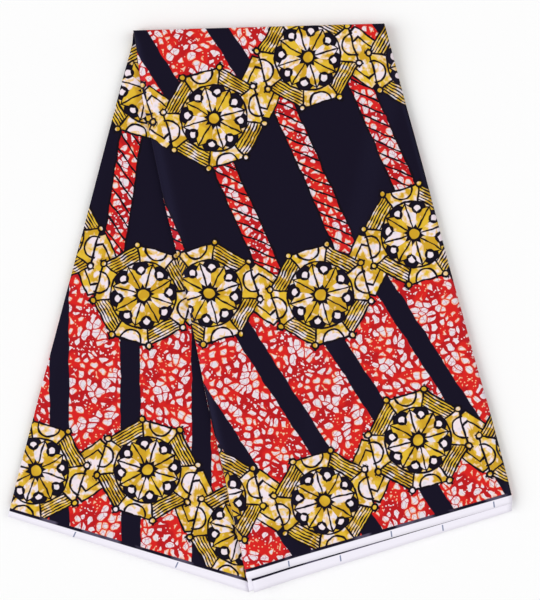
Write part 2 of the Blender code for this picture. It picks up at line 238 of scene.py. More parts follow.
# Beads between the petals, each in a scallop, and spokes from the ring to the corners.
BEAD_AT = 28.5
BEAD = 4.8
SCALLOP = 8.6
bead_place = (BEAD_AT * cos(pi / 8), BEAD_AT * sin(pi / 8), 0)
bead_line = add(ink, VECTOR, eighth_place, bead_place, operation="DISTANCE")[1]
bead_line = add(ink, MATH, bead_line, BEAD, operation="SUBTRACT")[0]
bead_ink = add(ink, MATH, bead_line, operation="ABSOLUTE")[0]
scallop_line = add(ink, MATH, bead_line, SCALLOP - BEAD, operation="SUBTRACT")[0]
scallop_ink = add(ink, MATH, scallop_line, operation="ABSOLUTE")[0]
petal_depth = add(ink, MATH, 0, petal_line, operation="SUBTRACT")[0]
scallop_ink = add(ink, MATH, scallop_ink, petal_depth, operation="MAXIMUM")[0]
scallop_ink = add(ink, MATH, scallop_ink, ring_line, operation="MAXIMUM")[0]
lines = add(ink, MATH, lines, scallop_ink, operation="MINIMUM")[0]
spoke_ink = add(ink, MATH, pi / 8, folded, operation="SUBTRACT")[0]
spoke_ink = add(ink, MATH, spoke_ink, radius, operation="MULTIPLY")[0]
inside_ring = add(ink, MATH, RING, radius, operation="SUBTRACT")[0]
spoke_ink = add(ink, MATH, spoke_ink, inside_ring, operation="MAXIMUM")[0]
lines = add(ink, MATH, lines, bead_ink, operation="MINIMUM")[0]
lines = add(ink, MATH, lines, spoke_ink, operation="MINIMUM")[0]

# Outside the ring, four sides are ruled with parallel lines and four hold a lunette.
RULE_PITCH = 3.1
RULE_FINER = 0.4
LUNETTE = 12
ruled = add(ink, MATH, side_line, RULE_PITCH / 2, operation="PINGPONG")[0]
ruled = add(ink, MATH, ruled, RULE_FINER, operation="ADD")[0]
ruled = add(ink, MATH, ruled, inside_ring, operation="MAXIMUM")[0]
even_side = add(ink, RANGE, odd_side, 0, 1, OUT_OF_REACH, -OUT_OF_REACH)[0]
ruled = add(ink, MATH, ruled, even_side, operation="MAXIMUM")[0]
lunette_line = add(ink, VECTOR, eighth_place, (SIDE, 0, 0), operation="DISTANCE")[1]
lunette_line = add(ink, MATH, lunette_line, LUNETTE, operation="SUBTRACT")[0]
ruled_side = add(ink, RANGE, odd_side, 0, 1, -OUT_OF_REACH, OUT_OF_REACH)[0]
lunette_line = add(ink, MATH, lunette_line, ruled_side, operation="MAXIMUM")[0]
lunette_ink = add(ink, MATH, lunette_line, operation="ABSOLUTE")[0]
lines = add(ink, MATH, lines, ruled, operation="MINIMUM")[0]
lines = add(ink, MATH, lines, lunette_ink, operation="MINIMUM")[0]
corner_depth = add(ink, MATH, 0, corner_line, operation="SUBTRACT")[0]
lines = add(ink, MATH, lines, corner_depth, operation="MAXIMUM")[0]
lines = add(ink, MATH, lines, corner_ink, operation="MINIMUM")[0]
outside = add(ink, MATH, outline, LINE_HALF, operation="SUBTRACT")[0]
lines = add(ink, MATH, lines, outside, operation="MAXIMUM")[0]

# Mustard diamonds, each with a second line inside, fill the corners between neighbours.
DIAMOND_HALF = 36
DIAMOND_SLOPE = 0.9
INNER_DIAMOND = 9
from_gap = add(ink, MATH, x, operation="ABSOLUTE")[0]
from_gap = add(ink, MATH, COLUMN_PITCH / 2, from_gap, operation="SUBTRACT")[0]
from_chain = add(ink, MATH, chain_y, operation="ABSOLUTE")[0]
diamond = add(ink, MATH, from_gap, DIAMOND_SLOPE, from_chain, operation="MULTIPLY_ADD")[0]
diamond = add(ink, MATH, diamond, DIAMOND_HALF, operation="SUBTRACT")[0]
diamond = add(ink, MATH, diamond, hypot(1, DIAMOND_SLOPE), operation="DIVIDE")[0]
diamond_ink = add(ink, MATH, diamond, operation="ABSOLUTE")[0]
inner_ink = add(ink, MATH, diamond, INNER_DIAMOND, operation="ADD")[0]
inner_ink = add(ink, MATH, inner_ink, operation="ABSOLUTE")[0]
diamond_ink = add(ink, MATH, diamond_ink, inner_ink, operation="MINIMUM")[0]
medallion_depth = add(ink, MATH, 0, outline, operation="SUBTRACT")[0]
diamond_ink = add(ink, MATH, diamond_ink, medallion_depth, operation="MAXIMUM")[0]
lines = add(ink, MATH, lines, diamond_ink, operation="MINIMUM")[0]

# Zones between the rows: even ones red with navy bars, odd ones navy with red strips,
# which slanting strokes cross.
BAR_PITCH = 82
BAR_HALF = 11.5
BAR_LEAN = 0.30
STRIP_PITCH = 88
STRIP_HALF = 12.5
STRIP_LEAN = 0.14
STROKE_PITCH = 15
STROKE_LEAN = 0.9
STROKE_FINER = 0.25
below_chain = add(ink, MATH, chain_y, 0, operation="LESS_THAN")[0]
zone = add(ink, MATH, row, below_chain, operation="SUBTRACT")[0]
zone = add(ink, MATH, zone, 0, operation="MAXIMUM")[0]
odd_zone = add(ink, MATH, zone, 1, operation="PINGPONG")[0]
bar = add(ink, MATH, up, BAR_LEAN, across, operation="MULTIPLY_ADD")[0]
bar = add(ink, MATH, bar, BAR_PITCH / 2, -BAR_PITCH / 2, operation="WRAP")[0]
bar = add(ink, MATH, bar, operation="ABSOLUTE")[0]
bar = add(ink, MATH, bar, BAR_HALF, operation="SUBTRACT")[0]
strip = add(ink, MATH, up, STRIP_LEAN, across, operation="MULTIPLY_ADD")[0]
strip_x = add(ink, MATH, strip, STRIP_PITCH / 2, -STRIP_PITCH / 2, operation="WRAP")[0]
strip = add(ink, MATH, strip_x, operation="ABSOLUTE")[0]
strip = add(ink, MATH, strip, STRIP_HALF, operation="SUBTRACT")[0]
stroke = add(ink, MATH, strip_x, STROKE_LEAN, up, operation="MULTIPLY_ADD")[0]
stroke = add(ink, MATH, stroke, STROKE_PITCH / 2, operation="PINGPONG")[0]
stroke = add(ink, MATH, stroke, STROKE_FINER, operation="SUBTRACT")[0]
stroke = add(ink, MATH, stroke, strip, operation="MAXIMUM")[0]
strip_edge = add(ink, MATH, strip, operation="ABSOLUTE")[0]
stroke = add(ink, MATH, stroke, strip_edge, operation="MINIMUM")[0]
even_zone = add(ink, RANGE, odd_zone, 0, 1, OUT_OF_REACH, -OUT_OF_REACH)[0]
stroke = add(ink, MATH, stroke, even_zone, operation="MAXIMUM")[0]
stroke = add(ink, MATH, stroke, medallion_depth, operation="MAXIMUM")[0]
diamond_depth = add(ink, MATH, 0, diamond, operation="SUBTRACT")[0]
stroke = add(ink, MATH, stroke, diamond_depth, operation="MAXIMUM")[0]
lines = add(ink, MATH, lines, stroke, operation="MINIMUM")[0]

# The crackle: wax that broke in the dye bath. It leaves round white pebbles, and the dye
# stands between them in veins that swell and shrink from place to place. Finer cracks
# cross some of the pebbles, and at the pebbles' edges the next colour shows as a fringe.
# A pebble's own distances are shares of its pitch.
PEBBLE_PITCH = 9.26
CRACK_PITCH = 5.88
SPECK_PITCH = 4.76
BEND_LENGTH = 14.3
BEND = 5
STRETCH_LENGTH = 41.7
STRETCH = 12
SWELL_LENGTH = 22.2
SWELL_OF_VEINS = (0.40, 0.60)
THIN_VEIN = 0.055
BROAD_VEIN = 0.34
ROUND_SLOPE = -0.75
ROUND_REACH = 0.42
ROUND_BLEND = 0.12
SPECK_SLOPE = -0.5
SPECK_REACH = 0.085
SWELL_OF_SPECKS = (0.50, 0.60)
NO_SPECK = -0.2
PEBBLE_RIM = (-0.02, 0.025)
PEBBLE_MIDDLE = (0.05, 0.22)
FRINGE_LENGTH = 20
FRINGE_WIDTH = (0.02, 0.14)
FRINGE_PLACES = (0.46, 0.58)
FRINGE_FAINT = 0.1
FRINGE_FULL = 0.9
CRACK_WIDTH = (0.02, 0.06)
SWELL_OF_CRACKS = (0.48, 0.56)
CRACK_FULL = 0.8
bent = add(ink, NOISE, still, None, 1 / BEND_LENGTH, 1.5, noise_dimensions="2D")[1]
bent = add(ink, VECTOR, bent, (0.5, 0.5, 0.5), operation="SUBTRACT")[0]
bent = add(ink, VECTOR, bent, (BEND, BEND, 0), still, operation="MULTIPLY_ADD")[0]
stretched = add(ink, NOISE, still, None, 1 / STRETCH_LENGTH, 0, noise_dimensions="2D")[1]
bent = add(ink, VECTOR, stretched, (STRETCH, STRETCH, 0), bent, operation="MULTIPLY_ADD")[0]
vein = add(ink, VORONOI, bent, None, 1 / PEBBLE_PITCH,
           voronoi_dimensions="2D", feature="DISTANCE_TO_EDGE")[0]
from_middle = add(ink, VORONOI, bent, None, 1 / PEBBLE_PITCH, voronoi_dimensions="2D")[0]
roundness = add(ink, MATH, from_middle, ROUND_SLOPE, ROUND_REACH, operation="MULTIPLY_ADD")[0]
swell = add(ink, NOISE, still, None, 1 / SWELL_LENGTH, 2, noise_dimensions="2D")[0]
vein_width = add(ink, RANGE, swell, *SWELL_OF_VEINS, THIN_VEIN, BROAD_VEIN)[0]
pebble = add(ink, MATH, vein, vein_width, operation="SUBTRACT")[0]
pebble = add(ink, MATH, pebble, roundness, ROUND_BLEND, operation="SMOOTH_MIN")[0]
speck = add(ink, VORONOI, still, None, 1 / SPECK_PITCH, voronoi_dimensions="2D")[0]
speck = add(ink, MATH, speck, SPECK_SLOPE, SPECK_REACH, operation="MULTIPLY_ADD")[0]
speck_place = add(ink, RANGE, swell, *SWELL_OF_SPECKS, NO_SPECK, 0)[0]
speck = add(ink, MATH, speck, speck_place, operation="ADD")[0]
pebble = add(ink, MATH, pebble, speck, operation="MAXIMUM")[0]
in_pebble = add(ink, RANGE, pebble, *PEBBLE_RIM)[0]
fringe = add(ink, RANGE, pebble, *FRINGE_WIDTH, 1, 0)[0]
fringe_noise = add(ink, NOISE, still, None, 1 / FRINGE_LENGTH, 1, noise_dimensions="2D")[0]
fringe_noise = add(ink, RANGE, fringe_noise, *FRINGE_PLACES, FRINGE_FAINT, FRINGE_FULL)[0]
fringe = add(ink, MATH, fringe, fringe_noise, operation="MULTIPLY")[0]
crack = add(ink, VORONOI, bent, None, 1 / CRACK_PITCH,
            voronoi_dimensions="2D", feature="DISTANCE_TO_EDGE")[0]
crack = add(ink, RANGE, crack, *CRACK_WIDTH, 1, 0)[0]
cracked = add(ink, RANGE, swell, *SWELL_OF_CRACKS, CRACK_FULL, 0)[0]
crack = add(ink, MATH, crack, cracked, operation="MULTIPLY")[0]
red = add(ink, BLEND, fringe_noise, DARK_RED, RED)[0]
middle = add(ink, RANGE, pebble, *PEBBLE_MIDDLE)[0]
white = add(ink, BLEND, middle, COTTON_WHITE, DAMP_WHITE)[0]
peppered = add(ink, BLEND, fringe, white, ORANGE)[0]
peppered = add(ink, BLEND, crack, peppered, PINK)[0]
red_crackle = add(ink, BLEND, in_pebble, red, peppered)[0]

# Mustard with white patches of the same crackle, for the medallions and the diamonds.
# The petals lean to white and to mustard in turn. The beads, the corner rings and the
# lunettes lean to white, and the hub to mustard.
PATCH_LENGTH = 13.3
PALE_PETAL = 0.14
FULL_PETAL = -0.10
PALE_BEAD = 0.5
FULL_HUB = -0.5
PALE_CORNER = 0.03
PALE_LUNETTE = 0.12
PATCH_OF_VEINS = 0.42
PATCH_RIM = (0.565, 0.715)
STRAW_RIM = (0.15, 0.5)
STRAW_FULL = 0.7
patch_noise = add(ink, NOISE, still, None, 1 / PATCH_LENGTH, 2.5, 0.55, noise_dimensions="2D")[0]
in_petal = add(ink, RANGE, petal_line, -SOFT, SOFT, 1, 0)[0]
petal_lean = add(ink, RANGE, odd_side, 0, 1, PALE_PETAL, FULL_PETAL)[0]
lean = add(ink, MATH, in_petal, petal_lean, operation="MULTIPLY")[0]
in_bead = add(ink, RANGE, bead_line, -SOFT, SOFT, 1, 0)[0]
lean = add(ink, MATH, in_bead, PALE_BEAD, lean, operation="MULTIPLY_ADD")[0]
in_hub = add(ink, RANGE, hub_line, -SOFT, SOFT, 1, 0)[0]
lean = add(ink, MATH, in_hub, FULL_HUB, lean, operation="MULTIPLY_ADD")[0]
in_corner = add(ink, RANGE, corner_line, -SOFT, SOFT, 1, 0)[0]
lean = add(ink, MATH, in_corner, PALE_CORNER, lean, operation="MULTIPLY_ADD")[0]
in_lunette = add(ink, RANGE, lunette_line, -SOFT, SOFT, 1, 0)[0]
lean = add(ink, MATH, in_lunette, PALE_LUNETTE, lean, operation="MULTIPLY_ADD")[0]
patch_pebble = add(ink, MATH, vein, PATCH_OF_VEINS, lean, operation="MULTIPLY_ADD")[0]
patch = add(ink, MATH, patch_noise, patch_pebble, operation="ADD")[0]
patch = add(ink, RANGE, patch, *PATCH_RIM)[0]
patch_edge = add(ink, MATH, patch, 0.5, operation="SUBTRACT")[0]
patch_edge = add(ink, MATH, patch_edge, operation="ABSOLUTE")[0]
patch_edge = add(ink, RANGE, patch_edge, *STRAW_RIM, STRAW_FULL, 0)[0]
mustard = add(ink, BLEND, fringe_noise, DEEP_MUSTARD, MUSTARD)[0]
mustard_crackle = add(ink, BLEND, patch, mustard, white)[0]
mustard_crackle = add(ink, BLEND, patch_edge, mustard_crackle, STRAW)[0]

# The colours are laid over each other: the zones, the diamonds, the medallions with
# their navy ground, and the black lines last. The lines are pressed a little unevenly.
PRESS_LENGTH = 8.3
PRESS_RANGE = (0.3, 0.7)
UNEVEN_PRESS = 0.3
in_bar = add(ink, RANGE, bar, -SOFT, SOFT, 1, 0)[0]
red_zone = add(ink, BLEND, in_bar, red_crackle, NAVY)[0]
in_strip = add(ink, RANGE, strip, -SOFT, SOFT, 1, 0)[0]
navy_zone = add(ink, BLEND, in_strip, NAVY, red_crackle)[0]
colour = add(ink, BLEND, odd_zone, red_zone, navy_zone)[0]
in_diamond = add(ink, RANGE, diamond, -SOFT, SOFT, 1, 0)[0]
colour = add(ink, BLEND, in_diamond, colour, mustard_crackle)[0]
open_ground = add(ink, MATH, petal_line, bead_line, operation="MINIMUM")[0]
open_ground = add(ink, MATH, open_ground, hub_line, operation="MINIMUM")[0]
open_ground = add(ink, MATH, open_ground, inside_ring, operation="MINIMUM")[0]
past_scallop = add(ink, MATH, radius, BEAD_AT - SCALLOP / 2, operation="SUBTRACT")[0]
past_scallop = add(ink, MATH, past_scallop, scallop_line, operation="MINIMUM")[0]
scallop_depth = add(ink, MATH, 0, past_scallop, operation="SUBTRACT")[0]
open_ground = add(ink, MATH, open_ground, scallop_depth, operation="MINIMUM")[0]
open_ground = add(ink, RANGE, open_ground, -SOFT, SOFT)[0]
medallion = add(ink, BLEND, open_ground, mustard_crackle, NAVY)[0]
in_side = add(ink, RANGE, outline, -SOFT, SOFT, 1, 0)[0]
colour = add(ink, BLEND, in_side, colour, medallion)[0]
pressed = add(ink, NOISE, still, None, 1 / PRESS_LENGTH, 2, noise_dimensions="2D")[0]
pressed = add(ink, RANGE, pressed, *PRESS_RANGE, -UNEVEN_PRESS, UNEVEN_PRESS)[0]
lines = add(ink, MATH, lines, pressed, operation="ADD")[0]
in_line = add(ink, RANGE, lines, LINE_HALF - SOFT, LINE_HALF + SOFT, 1, 0)[0]
colour = add(ink, BLEND, in_line, colour, BLACK)[0]

# The selvedge is left white behind a navy line, worn here and there, with small blue
# ticks across it.
SELVEDGE_WHITE = 11
SELVEDGE_LINE = 14.4
WEAR_LENGTH = 28.6
WORN_PLACES = (0.50, 0.66)
WORN_THROUGH = 0.8
TICK_START = 60
TICK_PITCH = 118
TICK_LEAN = -0.15
TICK_MIDDLE = 6.5
TICK_HALF_HEIGHT = 3.3
TICK_HALF_WIDTH = 0.7
still_across, still_up = add(ink, "ShaderNodeSeparateXYZ", still)[:2]
in_border = add(ink, RANGE, still_up, SELVEDGE_LINE - SOFT, SELVEDGE_LINE + SOFT, 1, 0)[0]
worn = add(ink, NOISE, still, None, 1 / WEAR_LENGTH, 2, noise_dimensions="2D")[0]
worn = add(ink, RANGE, worn, *WORN_PLACES, 0, WORN_THROUGH)[0]
border = add(ink, BLEND, worn, NAVY, WORN_NAVY)[0]
colour = add(ink, BLEND, in_border, colour, border)[0]
in_white = add(ink, RANGE, still_up, SELVEDGE_WHITE - SOFT, SELVEDGE_WHITE + SOFT, 1, 0)[0]
tick = add(ink, MATH, still_up, TICK_LEAN, still_across, operation="MULTIPLY_ADD")[0]
tick = add(ink, MATH, tick, TICK_START, operation="SUBTRACT")[0]
tick = add(ink, MATH, tick, TICK_PITCH / 2, operation="PINGPONG")[0]
tick = add(ink, RANGE, tick, TICK_HALF_WIDTH - SOFT, TICK_HALF_WIDTH + SOFT, 1, 0)[0]
tick_ends = add(ink, MATH, still_up, TICK_MIDDLE, operation="SUBTRACT")[0]
tick_ends = add(ink, MATH, tick_ends, operation="ABSOLUTE")[0]
tick_ends = add(ink, RANGE, tick_ends, TICK_HALF_HEIGHT - SOFT, TICK_HALF_HEIGHT + SOFT, 1, 0)[0]
tick = add(ink, MATH, tick, tick_ends, operation="MULTIPLY")[0]
white_band = add(ink, BLEND, tick, BLEACHED_WHITE, TICK_BLUE)[0]
colour = add(ink, BLEND, in_white, colour, white_band)[0]
add(ink, "NodeGroupOutput", colour)

# Calendered cotton, the cloth of every piece here: a smooth closed weave with a slight
# gloss from the press, so dark grounds pick up a little light where they turn away.
# The threads are too fine to draw, so their unevenness is drawn, three threads wide.
THREAD_SPACING = 0.00035
THICK_PLACE = 3 * THREAD_SPACING
THREAD_RELIEF = 0.0003
THREAD_STRENGTH = 0.12
ALONG_THREAD = 0.12
cotton = bpy.data.materials.new("calendered_wax_print_cotton")
cotton.use_nodes = True
weave = cotton.node_tree
cotton_shader = weave.nodes["Principled BSDF"]
cloth_place = add(weave, "ShaderNodeUVMap", uv_map="cloth")[0]
print_colour = add(weave, "ShaderNodeGroup", cloth_place, node_tree=ink)[0]
weave.links.new(print_colour, cotton_shader.inputs["Base Color"])
warp_place = add(weave, VECTOR, cloth_place, (ALONG_THREAD, 1, 1), operation="MULTIPLY")[0]
weft_place = add(weave, VECTOR, cloth_place, (1, ALONG_THREAD, 1), operation="MULTIPLY")[0]
warp = add(weave, NOISE, warp_place, None, 1 / THICK_PLACE, 2, noise_dimensions="2D")[0]
weft = add(weave, NOISE, weft_place, None, 1 / THICK_PLACE, 2, noise_dimensions="2D")[0]
threads = add(weave, MATH, warp, weft, operation="ADD")[0]
bump = add(weave, "ShaderNodeBump", THREAD_STRENGTH, THREAD_RELIEF, None, threads)[0]
weave.links.new(bump, cotton_shader.inputs["Normal"])
cotton_shader.inputs["Roughness"].default_value = 0.42
cotton_shader.inputs["Specular IOR Level"].default_value = 0.15
cotton_shader.inputs["Specular Tint"].default_value = linear("#a6aaff")

# The left leaf's pleats: the doubled cloth folded to and fro into a strip 277 mm wide.
# Seen from the side they are round folds of four plies at the left, small folds of two
# at the top where the cloth is doubled, and loose selvedges at the bottom.
TOP_LEFT = np.array((-0.1410, 0.3059))
TOP_RIGHT = np.array((0.1359, 0.3136))
LEFT_FOOT = np.array((-0.2802, -0.2311))
LEFT_TOE = np.array((-0.0135, -0.3149))
Bow = namedtuple("Bow", "way_down sideways")
LEFT_SIDE_BOW = (
    Bow(0.00, 0.0), Bow(0.03, 0.0022), Bow(0.10, 0.0016), Bow(0.35, 0.0013),
    Bow(0.60, 0.0005), Bow(0.75, -0.0002), Bow(0.93, -0.0004), Bow(1.00, 0.0),
)
LEFT_LEAF_TOP = 0.00675
STACK_BELOW_PLY = 0.0006
STRIP_WIDTH = 0.277
MESH_ROWS = 108
MESH_COLUMNS = 54
LEVELS = 64
PLEAT_TO_PLEAT = 0.554
CLOTH_MIDDLE = 0.585
CLOTH_PER_LEVEL = 0.00016
Crease = namedtuple("Crease", "x y lean half_length half_width lift")
LEFT_CREASES = (
    Crease(-0.163, -0.020, -12, 0.150, 0.011, -0.0007),
    Crease(-0.212, -0.150, -17, 0.095, 0.015, 0.0006),
    Crease(-0.120, -0.205, 74, 0.070, 0.017, -0.0007),
    Crease(-0.166, 0.130, -9, 0.085, 0.009, -0.0006),
    Crease(-0.070, -0.130, 8, 0.110, 0.013, 0.0002),
)
PLEATS = 4
Edge = namedtuple("Edge", "layers reach groove pleat_groove")
PLEAT_FOLDS = Edge(layers=4, reach=0.0020, groove=0.00060, pleat_groove=0.0)
MIDDLE_FOLDS = Edge(layers=8, reach=0.0014, groove=0.00028, pleat_groove=0.0006)
SELVEDGES = Edge(layers=16, reach=0.0034, groove=0.00014, pleat_groove=0.0009)
LEFT_BOTTOM_RIGHT_TOP = (PLEAT_FOLDS, SELVEDGES, PLEAT_FOLDS, MIDDLE_FOLDS)
LAYER_SHARE = 0.4
PLEAT_SHARE = 0.6
PLEAT_SEED = 20
BY_RAW_EDGE = 0.001


def ease(share):
    """0 to 1 with a soft start and end."""
    share = np.clip(share, 0, 1)
    return share * share * (3 - 2 * share)


def line(start, end, shares):
    return start + (end - start) * np.asarray(shares)[:, None]


def bow(table, down):
    """How far a side bows to the right, a share of the way down."""
    at, sideways = np.array(table).T
    k = np.clip(np.searchsorted(at, down, side="right") - 1, 0, len(at) - 2)
    share = ease((down - at[k]) / (at[k + 1] - at[k]))
    return sideways[k] + (sideways[k + 1] - sideways[k]) * share


def left_side(down):
    """Plan points of the pleat fold at the left, down from the top left corner."""
    points = line(TOP_LEFT, LEFT_FOOT, down)
    points[:, 0] += bow(LEFT_SIDE_BOW, np.asarray(down))
    return points


def beside(plan, start, end):
    """How far plan points lie to the left of the line from start to end."""
    step = end - start
    dx, dy = plan[..., 0] - start[0], plan[..., 1] - start[1]
    return (dy * step[0] - dx * step[1]) / np.hypot(*step)


def leaf_plan(left_line, right_line, across):
    """Plan points of a leaf, a row for each point down its left and right lines."""
    return left_line[:, None] + (right_line - left_line)[:, None] * np.asarray(across)[:, None]


def relief(plan, creases):
    """Soft troughs and ridges, each a long low mound that fades to its ends."""
    height = np.zeros(plan.shape[:-1])
    for crease in creases:
        dx, dy = plan[..., 0] - crease.x, plan[..., 1] - crease.y
        slope = radians(crease.lean)
        along = (dx * sin(slope) - dy * cos(slope)) / crease.half_length
        aside = (dx * cos(slope) + dy * sin(slope)) / crease.half_width
        height += crease.lift * np.exp(-along ** 2 - aside ** 2)
    return height


def cloth_map(plan, origin, lean, start, trimmed):
    """The cloth's own coordinates of plan points: along the selvedge and up from it."""
    dx, dy = plan[..., 0] - origin[0], plan[..., 1] - origin[1]
    slope = radians(lean)
    along = start + dx * cos(slope) + dy * sin(slope)
    return np.stack((along, trimmed + dy * cos(slope) - dx * sin(slope)), -1)


def left_map(plan):
    """Its print is a little aslant, so the white selvedge narrows to the left."""
    return cloth_map(plan, LEFT_TOE, lean=-16.5, start=0.382, trimmed=0.0002)


def left_height(plan):
    return LEFT_LEAF_TOP + relief(plan, LEFT_CREASES)


def new_piece(name, points, faces, places, node):
    """A cotton mesh whose faces carry cloth coordinates, stood in for a CAD node."""
    mesh = bpy.data.meshes.new(name)
    mesh.from_pydata(points.tolist(), [], faces.tolist())
    uv = mesh.uv_layers.new(name="cloth")
    uv.data.foreach_set("uv", places.astype(np.float32).ravel())
    mesh.materials.append(cotton)
    mesh.shade_smooth()
    piece = bpy.data.objects.new(name, mesh)
    bpy.context.scene.collection.objects.link(piece)
    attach(piece, "root")
    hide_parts(node)
    return piece


def grid_faces(index):
    """Four-sided faces over a grid of point numbers, facing up."""
    return np.stack((index[:-1, :-1], index[1:, :-1], index[1:, 1:], index[:-1, 1:]), -1).reshape(-1, 4)


def wander(layer, along, seed):
    """How far a layer is pushed in along its edge, from 0 to 1 and different for each."""
    pace = 8 + 2.3 * ((7 * layer + 3 * seed) % 5)
    return 0.5 + 0.3 * np.sin(2.4 * layer + seed) + 0.2 * np.cos(pace * along + 1.7 * layer)


def rounding(level, steps):
    """How far a round edge of some steps falls back at a level: 1 at its ends, else less."""
    bulge = 2 * (level % steps) / steps - 1
    return 1 - (1 - bulge * bulge) ** 0.5


def layered_edge(edge, along, seed):
    """How far in from the outline each level of a stack's edge is, from the table up."""
    steps = LEVELS // edge.layers
    rows = []
    for level in range(LEVELS + 1):
        layer, step = divmod(level, steps)
        touching = [k for k in ((layer, layer - 1) if step == 0 else (layer,)) if 0 <= k < edge.layers]
        setback = np.max([LAYER_SHARE * wander(k, along, seed) for k in touching], axis=0)
        pleat = min(level * PLEATS // LEVELS, PLEATS - 1)
        setback = (setback + PLEAT_SHARE * wander(pleat + PLEAT_SEED, along, seed)) * edge.reach
        groove = edge.groove * rounding(level, steps)
        groove += edge.pleat_groove * rounding(level, LEVELS // PLEATS)
        rows.append(setback + groove)
    return np.array(rows)


def edge_places(side, layer, round_fold, walk, length):
    """The cloth's coordinates on a layer of a stack's edge, a side counted from the left."""
    if side in (0, 2):
        across = layer * PLEAT_TO_PLEAT + side * STRIP_WIDTH + round_fold
        up_from_edge = walk if side == 2 else length - walk
    elif side == 3:
        across = layer * PLEAT_TO_PLEAT / 2 + length - walk
        up_from_edge = CLOTH_MIDDLE + round_fold
    else:
        across = layer * PLEAT_TO_PLEAT / 2 + walk
        up_from_edge = BY_RAW_EDGE
    return np.stack((across + 0 * walk, up_from_edge + 0 * walk), -1)


def make_stack(name, plan, under, top, to_cloth, seed):
    """A closed stack of pleats over a leaf's plan, with its layers showing round the edge."""
    down, across = plan.shape[0] - 1, plan.shape[1] - 1
    index = np.arange(plan.shape[0] * plan.shape[1]).reshape(plan.shape[:2])
    rim = np.concatenate((index[:-1, 0], index[-1, :-1], index[:0:-1, -1], index[0, :0:-1]))
    corners = np.cumsum((0, down, across, down, across))
    outline = plan.reshape(-1, 2)[rim]
    count = len(rim)
    insets = np.zeros((LEVELS + 1, count, 2))
    sides = []
    for k, edge in enumerate(LEFT_BOTTOM_RIGHT_TOP):
        run = np.arange(corners[k], corners[k + 1] + 1) % count
        step = outline[run[-1]] - outline[run[0]]
        length = np.hypot(*step)
        inward = np.array((-step[1], step[0])) / length
        along = np.linspace(0, length, len(run))
        depth = layered_edge(edge, along, seed + k)
        insets[:, run] += depth[:, :, None] * inward
        sides.append((edge, run, along, length))
    share = np.linspace(0, 1, LEVELS + 1)[:, None]
    low, high = under.ravel()[rim], top.ravel()[rim]
    heights = low + (high - low) * share
    ring_points = np.concatenate((outline + insets, heights[:, :, None]), -1).reshape(-1, 3)

    upper = np.concatenate((plan.reshape(-1, 2), top.reshape(-1, 1)), -1)
    lower = np.concatenate((plan.reshape(-1, 2), under.reshape(-1, 1)), -1)
    ring_start = len(upper) + len(lower)
    points = np.concatenate((upper, lower, ring_points))
    ring = ring_start + np.arange((LEVELS + 1) * count).reshape(LEVELS + 1, count)
    upper_index = index.copy()
    lower_index = index + len(upper)
    upper_index.ravel()[rim] = ring[-1]
    lower_index.ravel()[rim] = ring[0]
    upper_faces = grid_faces(upper_index)
    lower_faces = grid_faces(lower_index)[:, ::-1]
    places = to_cloth(points[:, :2])
    faces = [upper_faces, lower_faces]
    face_places = [places[upper_faces], places[lower_faces]]
    for k, (edge, run, along, length) in enumerate(sides):
        steps = LEVELS // edge.layers
        for level in range(LEVELS):
            lo, hi = ring[level][run], ring[level + 1][run]
            round_fold = np.array((level + 1, level, level, level + 1)) * CLOTH_PER_LEVEL
            walk = np.stack((along[:-1], along[:-1], along[1:], along[1:]), -1)
            faces.append(np.stack((hi[:-1], lo[:-1], lo[1:], hi[1:]), -1))
            face_places.append(edge_places(k, level // steps, round_fold, walk, length))
    faces = np.concatenate(faces)
    used = np.unique(faces)
    renumber = np.zeros(len(points), int)
    renumber[used] = np.arange(len(used))
    return new_piece(name, points[used], renumber[faces], np.concatenate(face_places),
                     "hidden_layers")


left_plan = leaf_plan(left_side(np.linspace(0, 1, MESH_ROWS + 1)),
                      line(TOP_RIGHT, LEFT_TOE, np.linspace(0, 1, MESH_ROWS + 1)),
                      np.linspace(0, 1, MESH_COLUMNS + 1))
left_top = left_height(left_plan) - STACK_BELOW_PLY
left_stack = make_stack("left_stack", left_plan, 0 * left_top, left_top, left_map, seed=1)

# The left leaf's top ply: one thickness of printed cotton, made 0.4 mm thick so that its
# edge shows. It rolls round the pleat at its left, ends in its selvedge at the bottom and
# runs on under the right leaf.
PLY = 0.0004
PLEAT_ROLL = 0.0009
PLEAT_TURN_DOWN = 0.0006
PLEAT_TURN_REACH = 0.014
ROLL_STEPS = 9
ROLL_START = -65
ROLL_END = 90
CLOSER_BY_FOLD = 1.15
RIGHT_TOE = np.array((-0.0152, -0.3005))
INNER_FOLD_BOW = (
    Bow(0.00, 0.0), Bow(0.14, -0.0056), Bow(0.28, -0.0056), Bow(0.46, -0.0024),
    Bow(0.68, -0.0034), Bow(0.84, -0.0012), Bow(1.00, 0.0),
)
TUCK = 0.010
TUCK_AT_ENDS = 0.0022
TUCK_SLOPE = 0.22
TOE_SHARE = 0.10


def inner_fold(down):
    """Plan points of the right leaf's rolled fold, down from the top left corner."""
    points = line(TOP_LEFT, RIGHT_TOE, down)
    points[:, 0] += bow(INNER_FOLD_BOW, np.asarray(down))
    return points


def from_fold(length, roll, steps, power=1.0):
    """Steps in from an edge: how far in, how far below the top, and how far on the cloth.

    With a roll the first steps come up round the fold, and without one the edge is cut.
    """
    angles = np.radians(np.linspace(ROLL_START, ROLL_END, ROLL_STEPS)) if roll else np.array((pi / 2,))
    rest = roll + (length - roll) * (np.arange(1, steps + 1) / steps) ** power
    inset = np.concatenate((roll * (1 - np.cos(angles)), rest))
    drop = np.concatenate((roll * (1 - np.sin(angles)), 0 * rest))
    on_cloth = np.concatenate((roll - roll * (pi / 2 - angles), rest))
    return inset / length, drop, on_cloth / length


